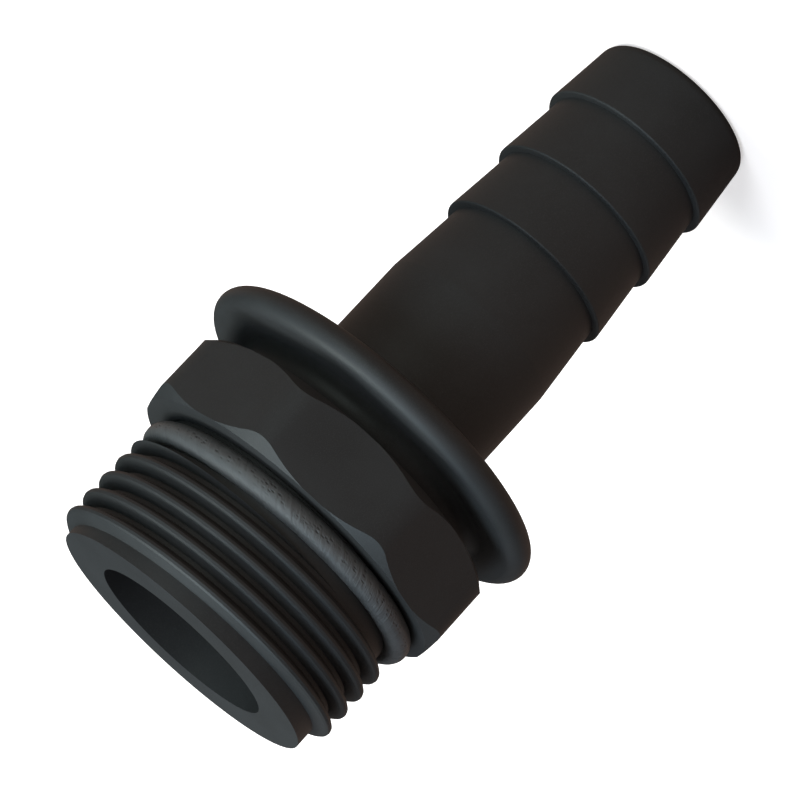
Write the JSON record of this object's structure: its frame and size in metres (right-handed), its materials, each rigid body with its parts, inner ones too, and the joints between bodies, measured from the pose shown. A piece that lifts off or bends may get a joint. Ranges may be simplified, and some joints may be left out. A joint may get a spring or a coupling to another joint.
{
  "type": "hose barb tail",
  "caption": "Plastic hose tail with a male pipe thread and sealing ring at one end, a spanner octagon and hose stop flange, and a barbed tail for a push-on hose.",
  "frame": {"origin": "middle of the tail's tip, on the surface that the part stands on", "axes": "+Z along the fitting's axis, from the barbed tip up to the threaded end; two flats of the octagon face along X and two along Y"},
  "size_m": [0.0404, 0.0404, 0.0752],
  "materials": {
    "body_plastic": "near-black moulded plastic, satin, with a fine grain",
    "ring_rubber": "dark grey rubber, slightly lighter and duller than the body"
  },
  "bodies": {
    "root": {"hose_tail_body": "body_plastic", "sealing_ring": "ring_rubber"}
  },
  "joints": []
}
